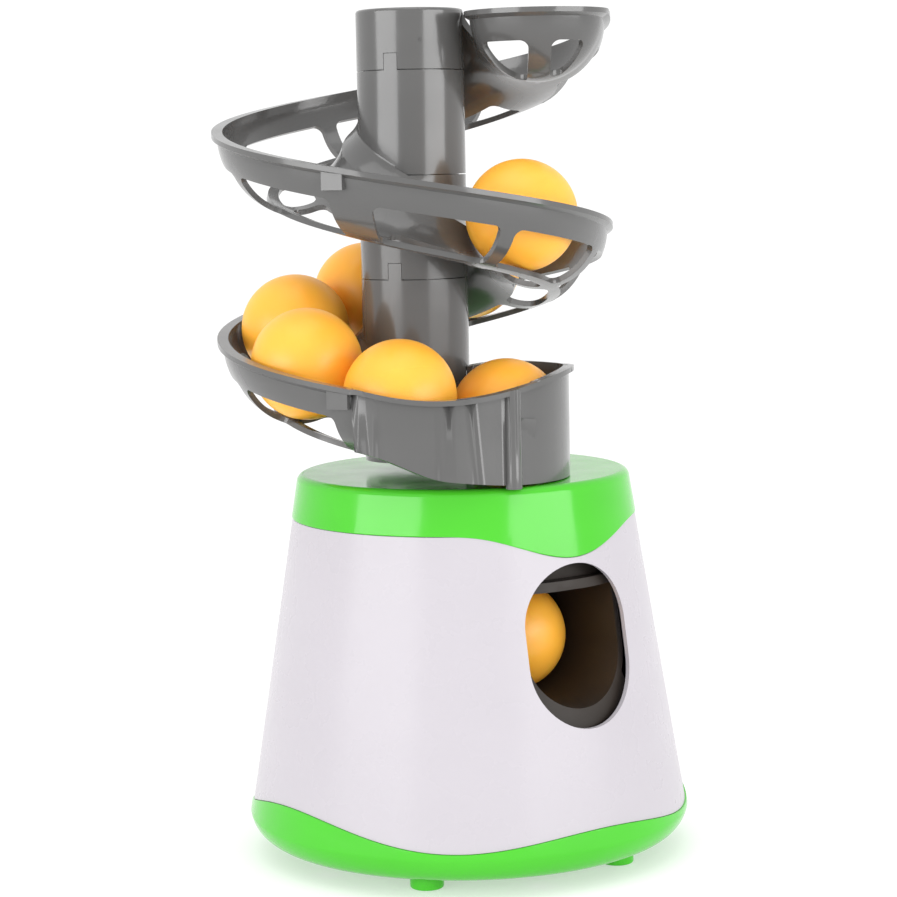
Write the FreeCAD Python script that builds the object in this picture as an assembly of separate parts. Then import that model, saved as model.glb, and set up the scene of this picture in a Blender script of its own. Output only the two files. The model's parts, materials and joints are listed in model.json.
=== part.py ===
import FreeCAD, Part
import math
import os

# Table-tennis ball launcher: a spiral ball ramp in five keyed segments feeds 40 mm balls into a
# battery-driven striker inside a conical housing.  Millimetres, +Z up, -Y is the launch direction,
# origin at the centre of the base on the floor.

V = FreeCAD.Vector
os.makedirs("parts", exist_ok=True)

# ---- driving dimensions -------------------------------------------------------------------
BALL_R = 20.0                  # table-tennis ball
GAP = 0.3                      # air between pieces that move past each other
JOIN_TOLERANCE = 0.005         # for faces that two stretches of one moulding share

COLUMN_X, COLUMN_Y = -11.2, 12.1   # axis of the ramp tower
SEAT_Y, SEAT_Z = -27.0, 82.0       # ball waiting in front of the striker, on x = 0

HOUSING_TOP_Z = 139.8
HOUSING_TOP_R = 60.3           # outer radius of the cone at its top
HOUSING_TAPER = 0.162          # radius gained per millimetre going down
WALL = 2.2
LAP = 1.5                      # thickness of the outer layer that the lid and tray edges share

LID_EDGE_Z, LID_DIP, LID_DIP_ANGLE = 123.9, 9.4, 36.0
TRAY_WAVE = (20.0, -2.35, 3.3)     # mean, twofold and fourfold parts of the tray's top edge
TRAY_FLOOR_Z, TRAY_FLOOR_R = 5.0, 70.0
TRAY_TURN_Z = 15.0
FOOT_R, FOOT_RING_R, FOOT_START, FOOT_COUNT = 6.0, 62.5, -50.6, 5

COLUMN_R = 19.45
COLUMN_TOP_Z = 307.0
HUB_BOTTOM_Z = 144.0
SEAM_Z, TURN_DROP = 172.9, 74.7    # lowest sleeve seam; fall of the ball path in one turn
SEAM_ANGLE = -54.0                 # azimuth of the lowest ramp joint, from -Y towards +X
ORBIT_R = 46.6                     # radius of the ball path
SEAM_TO_PATH = 0.6                 # ball centres pass this far above each seam
SOCKET_R, BORE_R, SPIGOT_H = 17.1, 15.1, 8.0

CHANNEL_R = 22.0               # inside radius of the ramp's U section
CHANNEL_RISE = 0.8             # section centre above the ball centre
RAMP_WALL = 2.0
RIM_H, RIM_T, RIM_OUT = 2.4, 1.8, 2.0    # rim top above the ball centre, thickness, overhang
RIM_FOOT_ANGLE = 356.5          # where the lip meets the outside of the U section
WINDOWS, WINDOW_MARGIN, RIB_ANGLE = 4, 6.5, 4.8
UPPER_ROW, LOWER_ROW = (24.0, 74.0), (84.0, 116.0)    # window rows: degrees below level in the U section
WINDOW_CORNER, WINDOW_DEPTH = 3.0, 8.0    # corner radius; how deep a cutter goes through the wall
CUP_ROW, CUP_OPEN = (24.0, 86.0), (-29.0, -145.0)      # the cup's windows: heights, and turns round its axis
CUP_RIB, CUP_RIB_TURN = 8.0, -77.0                     # the upright rib between them
SEAM_GAP = 0.35                # open line between two column sleeves

KEY_ANGLE = -57.0              # azimuth of the second seam's key; the others alternate by half a turn
TOP_SPAN = 84.0                # the top segment is shorter and starts in a rounded cup
CHUTE_R, CHUTE_WALL, CHUTE_BLEND_R = 22.4, 1.8, 45.0
CHUTE_LEVEL_ANGLE, CHUTE_END_ANGLE = -30.0, 0.0
CHUTE_RIM_Z, SKIN = 178.0, 0.15
CHUTE_HEM = [(-67.0, 154.0), (-56.0, 148.6), (-48.0, 144.6), (-39.0, 142.8), (-24.0, 141.2), (2.0, 140.3)]

OUTLET_R, OUTLET_LOW, OUTLET_HIGH = 22.2, 55.2, 112.4
OUTLET_STEP = 3.0              # the shell's inner layer stands back this far round the outlet
GUIDE_R, GUIDE_WALL, GUIDE_RISE, GUIDE_FLANGE = 21.0, 3.0, 0.6, 7.0
GUIDE_TOP_Z, GUIDE_BACK_Y = 106.0, -8.0
FEED_R, FEED_WALL = 21.2, 2.0

MODULE, WHEEL_TEETH, PINION_TEETH = 0.6, 42, 14
ADDENDUM, DEDENDUM, BACKLASH = 0.75, 1.15, 0.12
CENTRES = MODULE * (WHEEL_TEETH + PINION_TEETH) / 2 + 0.06
CAM_Y, CAM_Z = 15.0, 46.0
CAM_DWELL_CENTRE = 174.0       # direction of the follower seen from the cam, from +Y up
COMPOUND_LIFT, MOTOR_LIFT = 34.0, -10.0   # directions from one shaft to the next, from +Y up
STRIKER_Y, STRIKER_Z = -1.0, 61.0
STRIKER_LEAN, STRIKER_HEAD, STRIKER_TAIL = 30.0, 22.0, 13.0
FOLLOWER_R, CAM_LOW, CAM_HIGH = 3.0, 11.2, 19.4
PLATE_X, PLATE_T = 14.0, 2.0
SPACERS = [(-3.0, 28.0), (51.0, 29.0), (41.0, 68.0)]
SPRING_X, SPRING_ANCHOR = -10.5, (31.0, 56.0)

CELL_R, CELL_L, CELL_PITCH, CELL_COUNT = 7.1, 50.0, 14.7, 4
BAY_Y, BAY_W, BAY_L = 17.0, 64.0, 58.0
BAY_TOP_Z = 24.0
DOOR_W, DOOR_L = 60.0, 54.0
EAR_L, EAR_W, EAR_T = 9.0, 5.0, 1.0
DOOR_SCREW_Y = BAY_Y + DOOR_L / 2 + 4.8
SCREW_RING_R = 66.0
SWITCH_W, SWITCH_H, SWITCH_Y, SWITCH_Z = 12.0, 7.0, 70.5, 45.0

QUEUE = ["ball_front", "ball_left_front", "ball_left_back", "ball_back", "ball_back_right"]
QUEUE_START, QUEUE_STEP, ROLLING_ANGLE = -43.0, 49.6, -340.0


# ---- helpers ------------------------------------------------------------------------------
def save(name, shape):
    if shape.ShapeType == "Compound" and len(shape.Solids) == 1:
        shape = shape.Solids[0]
    shape.exportStep("parts/%s.step" % name)
    print("%-20s solids %d volume %9.1f valid %s" % (name, len(shape.Solids), shape.Volume, shape.isValid()))


def union(first, *others):
    for other in others:
        first = first.fuse(other)
    return first.removeSplitter()


def cylinder(r, x, y, z0, z1):
    return Part.makeCylinder(r, z1 - z0, V(x, y, z0))


def tube(r_out, r_in, x, y, z0, z1):
    return cylinder(r_out, x, y, z0, z1).cut(cylinder(r_in, x, y, z0 - 1, z1 + 1))


def rod_x(r, x0, x1, y, z):
    return Part.makeCylinder(r, x1 - x0, V(x0, y, z), V(1, 0, 0))


def box(x0, x1, y0, y1, z0, z1):
    return Part.makeBox(x1 - x0, y1 - y0, z1 - z0, V(x0, y0, z0))


def face_of(points):
    return Part.Face(Part.makePolygon(list(points) + [points[0]]))


def revolved(points):
    """Solid of revolution about Z of an outline given as (radius, height) pairs."""
    return face_of([V(r, 0, z) for r, z in points]).revolve(V(0, 0, 0), V(0, 0, 1), 360)


def around(r, angle, z, x=0.0, y=0.0):
    """Point at an azimuth measured from -Y towards +X."""
    a = math.radians(angle)
    return V(x + r * math.sin(a), y - r * math.cos(a), z)


def tower(r, angle, z):
    return around(r, angle, z, COLUMN_X, COLUMN_Y)


def cone_r(z):
    return HOUSING_TOP_R + HOUSING_TAPER * (HOUSING_TOP_Z - z)


def cone_layer(depth_out, depth_in, z0, z1):
    """Ring of the housing cone between two depths under its outer surface."""
    return revolved([(cone_r(z0) - depth_out, z0), (cone_r(z1) - depth_out, z1),
                     (cone_r(z1) - depth_in, z1), (cone_r(z0) - depth_in, z0)])


def above_wave(height_at, shift, r_in=35.0, r_out=100.0, steps=48):
    """Everything over a wavy ring whose height depends only on the azimuth."""
    edges = []
    for r in (r_in, r_out):
        points = [around(r, 360.0 * i / steps, height_at(360.0 * i / steps) + shift) for i in range(steps)]
        curve = Part.BSplineCurve()
        curve.interpolate(Points=points, PeriodicFlag=True)
        edges.append(curve.toShape())
    return Part.makeRuledSurface(edges[0], edges[1]).extrude(V(0, 0, 200))


def lid_edge(angle):
    a = (angle + 180.0) % 360.0 - 180.0
    if abs(a) >= LID_DIP_ANGLE:
        return LID_EDGE_Z
    return LID_EDGE_Z - LID_DIP * 0.5 * (1 + math.cos(math.pi * a / LID_DIP_ANGLE))


def tray_edge(angle):
    mean, two, four = TRAY_WAVE
    a = math.radians(angle)
    return mean + two * math.cos(2 * a) + four * math.cos(4 * a)


def path_z(angle):
    """Height of a ball's centre on the ramp, falling as the azimuth grows."""
    return SEAM_Z + SEAM_TO_PATH - TURN_DROP * (angle - SEAM_ANGLE) / 360.0


# ---- ramp tower ---------------------------------------------------------------------------
def section_point(r, angle, low_angle):
    """Point of the U section: polar about the section's centre, in the radial plane at an azimuth."""
    a = math.radians(angle)
    return tower(ORBIT_R + r * math.cos(a), low_angle, path_z(low_angle) + CHANNEL_RISE + r * math.sin(a))


def section_at(rho, h, low_angle):
    return tower(rho, low_angle, path_z(low_angle) + h)


def channel_wire(low_angle):
    """Closed outline of the ramp's section: fairing against the column, U and rim lip."""
    p = lambda rho, h: section_at(rho, h, low_angle)
    q = lambda r, a: section_point(r, a, low_angle)
    inner, outer = CHANNEL_R, CHANNEL_R + RAMP_WALL
    root = 19.2
    low = RIM_FOOT_ANGLE
    corners = [q(inner, 360), p(ORBIT_R + inner, RIM_H), p(ORBIT_R + outer + RIM_OUT, RIM_H),
               p(ORBIT_R + outer + RIM_OUT, RIM_H - RIM_T), q(outer, low)]
    edges = [Part.makeLine(a, b) for a, b in zip(corners, corners[1:])]
    edges.append(Part.Arc(q(outer, low), q(outer, 280), q(outer, 200)).toShape())
    edges.append(Part.makeLine(q(outer, 200), p(root, -1.5)))
    edges.append(Part.makeLine(p(root, -1.5), p(root, 4.0)))
    edges.append(Part.Arc(p(root, 4.0), p(root + 2.6, -1.5), q(inner, 196)).toShape())
    edges.append(Part.Arc(q(inner, 196), q(inner, 280), q(inner, 360)).toShape())
    return Part.Wire(Part.__sortEdges__(edges))


def cavity_wire(low_angle):
    """Outline of the space the balls roll through, open far above the rim."""
    p = lambda rho, h: section_at(rho, h, low_angle)
    q = lambda r, a: section_point(r, a, low_angle)
    r = CHANNEL_R
    edges = [Part.Arc(q(r, 180), q(r, 270), q(r, 360)).toShape(),
             Part.makeLine(q(r, 360), p(ORBIT_R + r, 40)),
             Part.makeLine(p(ORBIT_R + r, 40), p(ORBIT_R - r, 40)),
             Part.makeLine(p(ORBIT_R - r, 40), q(r, 180))]
    return Part.Wire(edges)


def sweep(wire, low_angle, span):
    """Sweep a section up the left-hand spiral, from its low end."""
    helix = Part.makeHelix(TURN_DROP, TURN_DROP * span / 360.0, ORBIT_R, 0, True)
    helix.rotate(V(0, 0, 0), V(0, 0, 1), low_angle - 90.0)
    helix.translate(V(COLUMN_X, COLUMN_Y, path_z(low_angle)))
    return Part.Wire(helix.Edges).makePipeShell([wire], True, True)


def window_sector(low_angle, row):
    """Piece of the radial plane that crosses the U section's wall between two heights."""
    inner = CHANNEL_R + (RAMP_WALL - WINDOW_DEPTH) / 2
    outer = inner + WINDOW_DEPTH
    top, bottom = row
    q = lambda r, a: section_point(r, -a, low_angle)
    middle = (top + bottom) / 2
    edges = [Part.Arc(q(inner, top), q(inner, middle), q(inner, bottom)).toShape(),
             Part.makeLine(q(inner, bottom), q(outer, bottom)),
             Part.Arc(q(outer, bottom), q(outer, middle), q(outer, top)).toShape(),
             Part.makeLine(q(outer, top), q(inner, top))]
    return Part.Wire(edges)


def ramp_window(low_angle, span, row):
    """Cutter for one window, swept along the ramp, with rounded corners."""
    cutter = sweep(window_sector(low_angle, row), low_angle, span)
    return cutter.makeFillet(WINDOW_CORNER, [e for e in cutter.Edges if abs(e.Length - WINDOW_DEPTH) < 0.05])


def ramp_windows(low_angle, span, count, floor_count):
    """Cutters of the side windows, spaced evenly up a segment, and of the first few windows in its floor."""
    pitch = (span - 2 * WINDOW_MARGIN + RIB_ANGLE) / count
    for i in range(count):
        start = low_angle - WINDOW_MARGIN - i * pitch
        yield ramp_window(start, pitch - RIB_ANGLE, UPPER_ROW)
        if i < floor_count:
            yield ramp_window(start, pitch - RIB_ANGLE, LOWER_ROW)


def cup_windows(high):
    """Cutters of the two windows round the top segment's cup, with an upright rib between them."""
    first, last = CUP_OPEN
    axis = tower(ORBIT_R, high, 0)
    sector = Part.Face(window_sector(high, CUP_ROW))
    sector.rotate(axis, V(0, 0, 1), first)
    opening = sector.revolve(axis, V(0, 0, 1), last - first)
    rib = box(-CUP_RIB / 2, CUP_RIB / 2, -40, 0, 0, COLUMN_TOP_Z)
    rib.rotate(V(0, 0, 0), V(0, 0, 1), high + CUP_RIB_TURN)
    rib.translate(axis)
    centre = tower(ORBIT_R, high, path_z(high) + CHANNEL_RISE)
    return [round_corners(solid, centre) for solid in opening.cut(rib).Solids]


def round_corners(cutter, centre):
    """Round a cutter's corners: the edges that run outward from the cup's centre through the whole wall."""
    across = []
    for edge in cutter.Edges:
        near, far = sorted(v.Point.distanceToPoint(centre) for v in (edge.Vertexes[0], edge.Vertexes[-1]))
        if far - near > WINDOW_DEPTH - 0.05:
            across.append(edge)
    return cutter.makeFillet(WINDOW_CORNER, across)


def sleeve(z0, z1, key_angle, socket, spigot):
    """Column sleeve with its key notch below and key tab above."""
    body = tube(COLUMN_R, BORE_R, COLUMN_X, COLUMN_Y, z0 + (SEAM_GAP if socket else 0), z1)
    if socket:
        body = body.cut(cylinder(SOCKET_R, COLUMN_X, COLUMN_Y, z0 - 1, z0 + SPIGOT_H + 0.4))
        body = body.cut(key(z0, key_angle, 0.15))
    if spigot:
        body = body.fuse(tube(SOCKET_R - 0.1, BORE_R, COLUMN_X, COLUMN_Y, z1 - 0.5, z1 + SPIGOT_H))
        body = body.fuse(key(z1, key_angle + 180.0, 0.0))
    return body


def key(z, angle, play):
    """Key tab standing on a seam, 5 mm wide and 6 mm high."""
    ring = tube(COLUMN_R + play, SOCKET_R - 0.1 - play, COLUMN_X, COLUMN_Y, z - 0.5, z + 6.0 + play)
    half = 2.5 + play
    bar = box(-half, half, -30, 0, z - 1, z + 7)
    bar.rotate(V(0, 0, 0), V(0, 0, 1), angle)
    bar.translate(V(COLUMN_X, COLUMN_Y, 0))
    return ring.common(bar)


def rim_clip(angle):
    """Latch block on the outside of the rim, at the low end of a segment."""
    block = Part.makeBox(2.6, 8.0, 6.5, V(ORBIT_R + CHANNEL_R + RAMP_WALL - 1.2, 0.4, -6.2))
    block.rotate(V(0, 0, 0), V(0, 0, 1), angle - 90.0)
    block.translate(V(COLUMN_X, COLUMN_Y, path_z(angle)))
    return block


def ramp(low_angle, span, z0, z1, cup):
    """One segment: half a turn of channel on its sleeve.  The top one starts in a closed cup."""
    channel = sweep(channel_wire(low_angle), low_angle, span)
    if cup:
        high = low_angle - span
        end = Part.Face(Part.Wire(cup_outline(high))).revolve(tower(ORBIT_R, high, 0), V(0, 0, 1), -180)
        channel = channel.fuse([end], JOIN_TOLERANCE)
    side, floor = (2, 1) if cup else (WINDOWS, WINDOWS)
    cutters = list(ramp_windows(low_angle, span, side, floor))
    if cup:
        cutters += cup_windows(low_angle - span)
    for cutter in cutters:
        channel = channel.cut(cutter)
    channel = channel.cut(cylinder(COLUMN_R + GAP, COLUMN_X, COLUMN_Y, z1, z1 + 60))
    channel = channel.cut(cylinder(COLUMN_R + GAP, COLUMN_X, COLUMN_Y, z0 - 60, z0))
    channel = channel.cut(cylinder(COLUMN_R - 1.0, COLUMN_X, COLUMN_Y, z0 - 60, z1 + 60))
    return channel


def cup_outline(angle):
    """Half of the U section with its rim, for the rounded end of the top segment."""
    p = lambda rho, h: section_at(rho, h, angle)
    q = lambda r, a: section_point(r, a, angle)
    inner, outer = CHANNEL_R, CHANNEL_R + RAMP_WALL
    low = RIM_FOOT_ANGLE
    corners = [q(inner, 360), p(ORBIT_R + inner, RIM_H), p(ORBIT_R + outer + RIM_OUT, RIM_H),
               p(ORBIT_R + outer + RIM_OUT, RIM_H - RIM_T), q(outer, low)]
    edges = [Part.makeLine(a, b) for a, b in zip(corners, corners[1:])]
    edges.append(Part.Arc(q(outer, low), q(outer, 315), q(outer, 270)).toShape())
    edges.append(Part.makeLine(q(outer, 270), q(inner, 270)))
    edges.append(Part.Arc(q(inner, 270), q(inner, 315), q(inner, 360)).toShape())
    return edges


def segment(index, low_angle, span, cup=False):
    """Ramp segment number index, counted up from the lowest seam."""
    z0 = SEAM_Z + index * TURN_DROP / 2
    z1 = COLUMN_TOP_Z if cup else z0 + TURN_DROP / 2
    key_angle = KEY_ANGLE + 180.0 * (index + 1)
    column = sleeve(z0, z1, key_angle, True, not cup)
    if cup:
        lid = cylinder(COLUMN_R, COLUMN_X, COLUMN_Y, z1 - 2.0, z1)
        column = column.fuse(lid).removeSplitter()
        rim = [e for e in column.Edges if abs(e.BoundBox.ZMin - z1) < 1e-6 and e.Length > 6 * COLUMN_R]
        column = column.makeFillet(1.2, rim)
    return union(column, ramp(low_angle, span, z0, z1, cup), rim_clip(low_angle - 7.4))


def chute_outline(offset, z):
    """Plan of the drop chute: ramp wall, blend and ball shaft, all tangent, grown by an offset."""
    centre = tower(0, 0, z)
    shaft = V(0, SEAT_Y, z)
    reach = (shaft - centre).Length
    shaft_angle = math.degrees(math.atan2(shaft.x - centre.x, centre.y - shaft.y))
    outer, blend, inner = ORBIT_R + CHANNEL_R + RAMP_WALL, CHUTE_BLEND_R, CHUTE_R
    cosine = (reach ** 2 + (outer - blend) ** 2 - (blend - inner) ** 2) / (2 * reach * (outer - blend))
    turn = shaft_angle - math.degrees(math.acos(cosine))
    middle = tower(outer - blend, turn, z)
    away = (shaft - middle).normalize()
    p_start, p_mid = tower(outer + offset, SEAM_ANGLE, z), tower(outer + offset, (SEAM_ANGLE + turn) / 2, z)
    p_turn = tower(outer + offset, turn, z)
    p_join = shaft + away * (inner + offset)
    p_blend = middle + ((p_turn - middle).normalize() + away).normalize() * (blend + offset)
    back = (centre - shaft).normalize()
    a = math.radians(-17.0)
    back = V(back.x * math.cos(a) - back.y * math.sin(a), back.x * math.sin(a) + back.y * math.cos(a), 0)
    p_end = shaft + back * (inner + offset)
    p_side = shaft + (back + away).normalize() * (inner + offset)
    edges = [Part.makeLine(centre, p_start), Part.Arc(p_start, p_mid, p_turn).toShape(),
             Part.Arc(p_turn, p_blend, p_join).toShape(), Part.Arc(p_join, p_side, p_end).toShape(),
             Part.makeLine(p_end, centre)]
    return Part.Face(Part.Wire(edges))


def chute_prism(offset, z0, z1):
    return chute_outline(offset, z0).extrude(V(0, 0, z1 - z0))


def prism_along_y(edges, y0, y1):
    return Part.Face(Part.Wire(edges)).extrude(V(0, y1 - y0, 0))


def skirt_cut():
    """Space under the boat-shaped front of the chute, between the ramp joint and the lid."""
    y = -90.0
    hem = Part.BSplineCurve()
    hem.interpolate(Points=[V(x, y, z) for x, z in CHUTE_HEM])
    low, high = HOUSING_TOP_Z - 5, 176.0
    corners = [hem.EndPoint, V(24, y, HOUSING_TOP_Z), V(24, y, low), V(-110, y, low), V(-110, y, high),
               V(-70, y, high), hem.StartPoint]
    edges = [hem.toShape()] + [Part.makeLine(a, b) for a, b in zip(corners, corners[1:])]
    return prism_along_y(edges, y, 10.0)


def rim_profile(drop):
    """The chute's top edge seen along Y: down with the ramp, then up to the level box."""
    start = path_z(SEAM_ANGLE) + RIM_H
    dip = path_z(CHUTE_LEVEL_ANGLE) + RIM_H + 0.6
    places = [(-68.5, start), (-46, dip), (-12, (dip + CHUTE_RIM_Z) / 2 + 1.2), (30, CHUTE_RIM_Z)]
    curve = Part.BSplineCurve()
    curve.interpolate(Points=[V(x, -90, z - drop) for x, z in places])
    first, last = V(-110, -90, start - drop), V(110, -90, CHUTE_RIM_Z - drop)
    return [Part.makeLine(first, curve.StartPoint), curve.toShape(), Part.makeLine(curve.EndPoint, last)]


def rim_band(thickness):
    """Layer of the given thickness under the chute's top edge."""
    upper, lower = rim_profile(0.0), rim_profile(thickness)
    ends = []
    for i, k in ((0, 0), (2, -1)):
        ends.append(Part.makeLine(upper[i].Vertexes[k].Point, lower[i].Vertexes[k].Point))
    return prism_along_y(Part.__sortEdges__(upper + lower + ends), -90, 100)


def drop_chute():
    rib_angle, rib_r = -7.8, 2.9
    hub = sleeve(HUB_BOTTOM_Z, SEAM_Z, KEY_ANGLE, False, True)
    trough = sweep(trough_wire(CHUTE_END_ANGLE), CHUTE_END_ANGLE, CHUTE_END_ANGLE - SEAM_ANGLE)
    outside = chute_prism(SKIN, HOUSING_TOP_Z, 200)
    inside = chute_prism(-CHUTE_WALL, HOUSING_TOP_Z - 1, 210)
    rib_at = tower(ORBIT_R + CHANNEL_R + RAMP_WALL, rib_angle, 0)
    rib = cylinder(rib_r, rib_at.x, rib_at.y, HOUSING_TOP_Z, 200)
    wall = outside.cut(inside).cut(skirt_cut()).fuse(rib.cut(inside))
    flange = chute_prism(RIM_OUT, HOUSING_TOP_Z, 200).cut(inside)
    below = rim_band(80.0)
    wall = wall.common(below)
    lip = flange.common(rim_band(RIM_T))
    body = trough.common(below).fuse(wall).fuse(lip)
    body = body.cut(sweep(cavity_wire(CHUTE_END_ANGLE), CHUTE_END_ANGLE, CHUTE_END_ANGLE - SEAM_ANGLE))
    body = body.cut(cylinder(COLUMN_R - 1.0, COLUMN_X, COLUMN_Y, 120, 240))
    body = body.cut(cylinder(COLUMN_R + GAP, COLUMN_X, COLUMN_Y, SEAM_Z, 240))
    body = body.fuse(hub)
    return body.cut(cylinder(CHUTE_R - CHUTE_WALL, 0, SEAT_Y, 120, 240))


def trough_wire(low_angle):
    """The ramp's section without its rim, for the stretch inside the chute."""
    p = lambda rho, h: section_at(rho, h, low_angle)
    q = lambda r, a: section_point(r, a, low_angle)
    inner, outer = CHANNEL_R, CHANNEL_R + RAMP_WALL
    edges = [Part.Arc(q(outer, 360), q(outer, 280), q(outer, 200)).toShape(),
             Part.makeLine(q(outer, 200), p(19.2, -1.5)), Part.makeLine(p(19.2, -1.5), p(19.2, 4.0)),
             Part.Arc(p(19.2, 4.0), p(21.8, -1.5), q(inner, 196)).toShape(),
             Part.Arc(q(inner, 196), q(inner, 280), q(inner, 360)).toShape(),
             Part.makeLine(q(inner, 360), q(outer, 360))]
    return Part.Wire(Part.__sortEdges__(edges))


# ---- housing ------------------------------------------------------------------------------
def lid():
    low = 112.0
    proud, depth = 0.3, LAP - 0.2
    cap = Part.makeCone(cone_r(low) + proud, HOUSING_TOP_R + proud, HOUSING_TOP_Z - low, V(0, 0, low))
    top = [e for e in cap.Edges if abs(e.BoundBox.ZMin - HOUSING_TOP_Z) < 1e-6]
    cap = cap.makeFillet(3.0, top)
    roof = HOUSING_TOP_Z - 2.5
    hollow = Part.makeCone(cone_r(low - 1) - depth, cone_r(roof) - depth, roof - low + 1, V(0, 0, low - 1))
    cap = cap.cut(hollow)
    cap = cap.common(above_wave(lid_edge, 0.0, 20.0)).fuse(cap.common(cylinder(50, 0, 0, 130, 150)))
    ring = tube(FEED_R + FEED_WALL + 2.3, FEED_R + FEED_WALL + 0.2, 0, SEAT_Y, roof - 7.0, roof + 0.2)
    cap = union(cap, ring)
    return cap.cut(cylinder(CHUTE_R - CHUTE_WALL, 0, SEAT_Y, roof - 1, 150))


def stadium(half, low, high, y0, y1):
    """Upright stadium extruded along Y."""
    a, b = V(-half, y0, low + half), V(-half, y0, high - half)
    c, d = V(half, y0, high - half), V(half, y0, low + half)
    edges = [Part.makeLine(a, b), Part.Arc(b, V(0, y0, high), c).toShape(),
             Part.makeLine(c, d), Part.Arc(d, V(0, y0, low), a).toShape()]
    return Part.Face(Part.Wire(edges)).extrude(V(0, y1 - y0, 0))


def screw_angles():
    return [FOOT_START + 180.0 / FOOT_COUNT + i * 360.0 / FOOT_COUNT for i in range(FOOT_COUNT)]


def body_shell():
    inner = cone_layer(LAP, LAP + WALL, 14.0, HOUSING_TOP_Z - 2.7)
    outer = cone_layer(0.0, LAP + 0.3, 12.0, HOUSING_TOP_Z - 1.0)
    outer = outer.common(above_wave(tray_edge, 0.15)).cut(above_wave(lid_edge, -0.15))
    low, high = OUTLET_LOW - OUTLET_STEP, OUTLET_HIGH + OUTLET_STEP
    shell = inner.cut(stadium(OUTLET_R + OUTLET_STEP, low, high, -95, -40)).fuse(outer)
    for angle in screw_angles():
        at = around(SCREW_RING_R, angle, 0)
        web = box(-1.2, 1.2, 0, 10.5, 15.0, 28.0)
        web.rotate(V(0, 0, 0), V(0, 0, 1), angle + 180.0)
        web.translate(around(SCREW_RING_R, angle, 0))
        post = cylinder(4.0, at.x, at.y, TRAY_FLOOR_Z + 2.5, 30.0).fuse(web)
        shell = shell.fuse(post).cut(cylinder(1.3, at.x, at.y, 0, 26.0))
    shell = shell.cut(stadium(OUTLET_R, OUTLET_LOW, OUTLET_HIGH, -95, -40))
    hole = box(-SWITCH_W - 0.1, SWITCH_W + 0.1, 60, 90, SWITCH_Z - SWITCH_H - 0.1, SWITCH_Z + SWITCH_H + 0.1)
    return shell.cut(hole).removeSplitter()


def base_tray():
    proud, depth = 0.6, LAP - 0.2
    z1, top = TRAY_TURN_Z, 40.0
    p = [V(0, 0, TRAY_FLOOR_Z), V(TRAY_FLOOR_R, 0, TRAY_FLOOR_Z), V(78.1, 0, 8.6),
         V(cone_r(z1) + proud, 0, z1), V(cone_r(top) + proud, 0, top), V(cone_r(top) - depth, 0, top),
         V(cone_r(13.4) - depth, 0, 13.4), V(76.2, 0, 9.6), V(TRAY_FLOOR_R - 0.6, 0, TRAY_FLOOR_Z + 2.2),
         V(0, 0, TRAY_FLOOR_Z + 2.2)]
    edges = [Part.makeLine(p[0], p[1]), Part.Arc(p[1], p[2], p[3]).toShape(), Part.makeLine(p[3], p[4]),
             Part.makeLine(p[4], p[5]), Part.makeLine(p[5], p[6]), Part.Arc(p[6], p[7], p[8]).toShape(),
             Part.makeLine(p[8], p[9]), Part.makeLine(p[9], p[0])]
    tray = Part.Face(Part.Wire(edges)).revolve(V(0, 0, 0), V(0, 0, 1), 360)
    tray = tray.cut(above_wave(tray_edge, 0.0))
    for i in range(FOOT_COUNT):
        at = around(FOOT_RING_R, FOOT_START + i * 360.0 / FOOT_COUNT, 0)
        foot = cylinder(FOOT_R, at.x, at.y, 0, TRAY_FLOOR_Z + 0.5)
        foot = foot.makeFillet(0.8, [e for e in foot.Edges if abs(e.BoundBox.ZMax) < 1e-6])
        tray = tray.fuse(foot)
    tray = tray.cut(bay_hole(4, 9)).cut(ear(EAR_L, EAR_W, 4, TRAY_FLOOR_Z + EAR_T + 0.05, 0.2))
    tray = tray.cut(cylinder(1.4, 0, DOOR_SCREW_Y, 0, 10))
    for angle in screw_angles():
        at = around(SCREW_RING_R, angle, 0)
        tray = tray.cut(cylinder(1.7, at.x, at.y, 0, 10))
        tray = tray.cut(cylinder(3.3, at.x, at.y, 0, TRAY_FLOOR_Z + 1.1))
    return tray.removeSplitter()


def base_screws():
    """Pan-head screws that hold the tray to the shell's posts."""
    screws = []
    for angle in screw_angles():
        at = around(SCREW_RING_R, angle, 0)
        head_z = TRAY_FLOOR_Z - 0.4
        head = cylinder(2.9, at.x, at.y, head_z, TRAY_FLOOR_Z + 1.1)
        for a, b in ((2.2, 0.35), (0.35, 2.2)):
            head = head.cut(box(at.x - a, at.x + a, at.y - b, at.y + b, head_z - 1, head_z + 0.7))
        screws.append(head.fuse(cylinder(1.25, at.x, at.y, TRAY_FLOOR_Z + 1.0, 20.0)).removeSplitter())
    return Part.makeCompound(screws)


# ---- battery bay --------------------------------------------------------------------------
def bay_hole(z0, z1):
    """Space of the battery door, with the play it lies in."""
    w, l = DOOR_W / 2 + 0.2, DOOR_L / 2 + 0.2
    return box(-w, w, BAY_Y - l, BAY_Y + l, z0, z1)


def ear(length, half, z0, z1, play=0.0):
    """Screw ear at the rear end of the battery door, and the recess that takes it."""
    y = BAY_Y + DOOR_L / 2
    return box(-half - play, half + play, y - 0.5, y + length + play, z0, z1)


def battery_door():
    w, l = DOOR_W / 2, DOOR_L / 2
    door = box(-w, w, BAY_Y - l, BAY_Y + l, TRAY_FLOOR_Z, TRAY_FLOOR_Z + 1.8)
    door = door.fuse(ear(EAR_L, EAR_W, TRAY_FLOOR_Z, TRAY_FLOOR_Z + EAR_T))
    for i in range(5):
        y = BAY_Y - DOOR_L / 2 + 5.0 + 2.4 * i
        door = door.cut(box(-9, 9, y, y + 1.1, TRAY_FLOOR_Z - 1, TRAY_FLOOR_Z + 0.5))
    return door.cut(cylinder(1.4, 0, DOOR_SCREW_Y, 0, 10)).removeSplitter()


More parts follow.
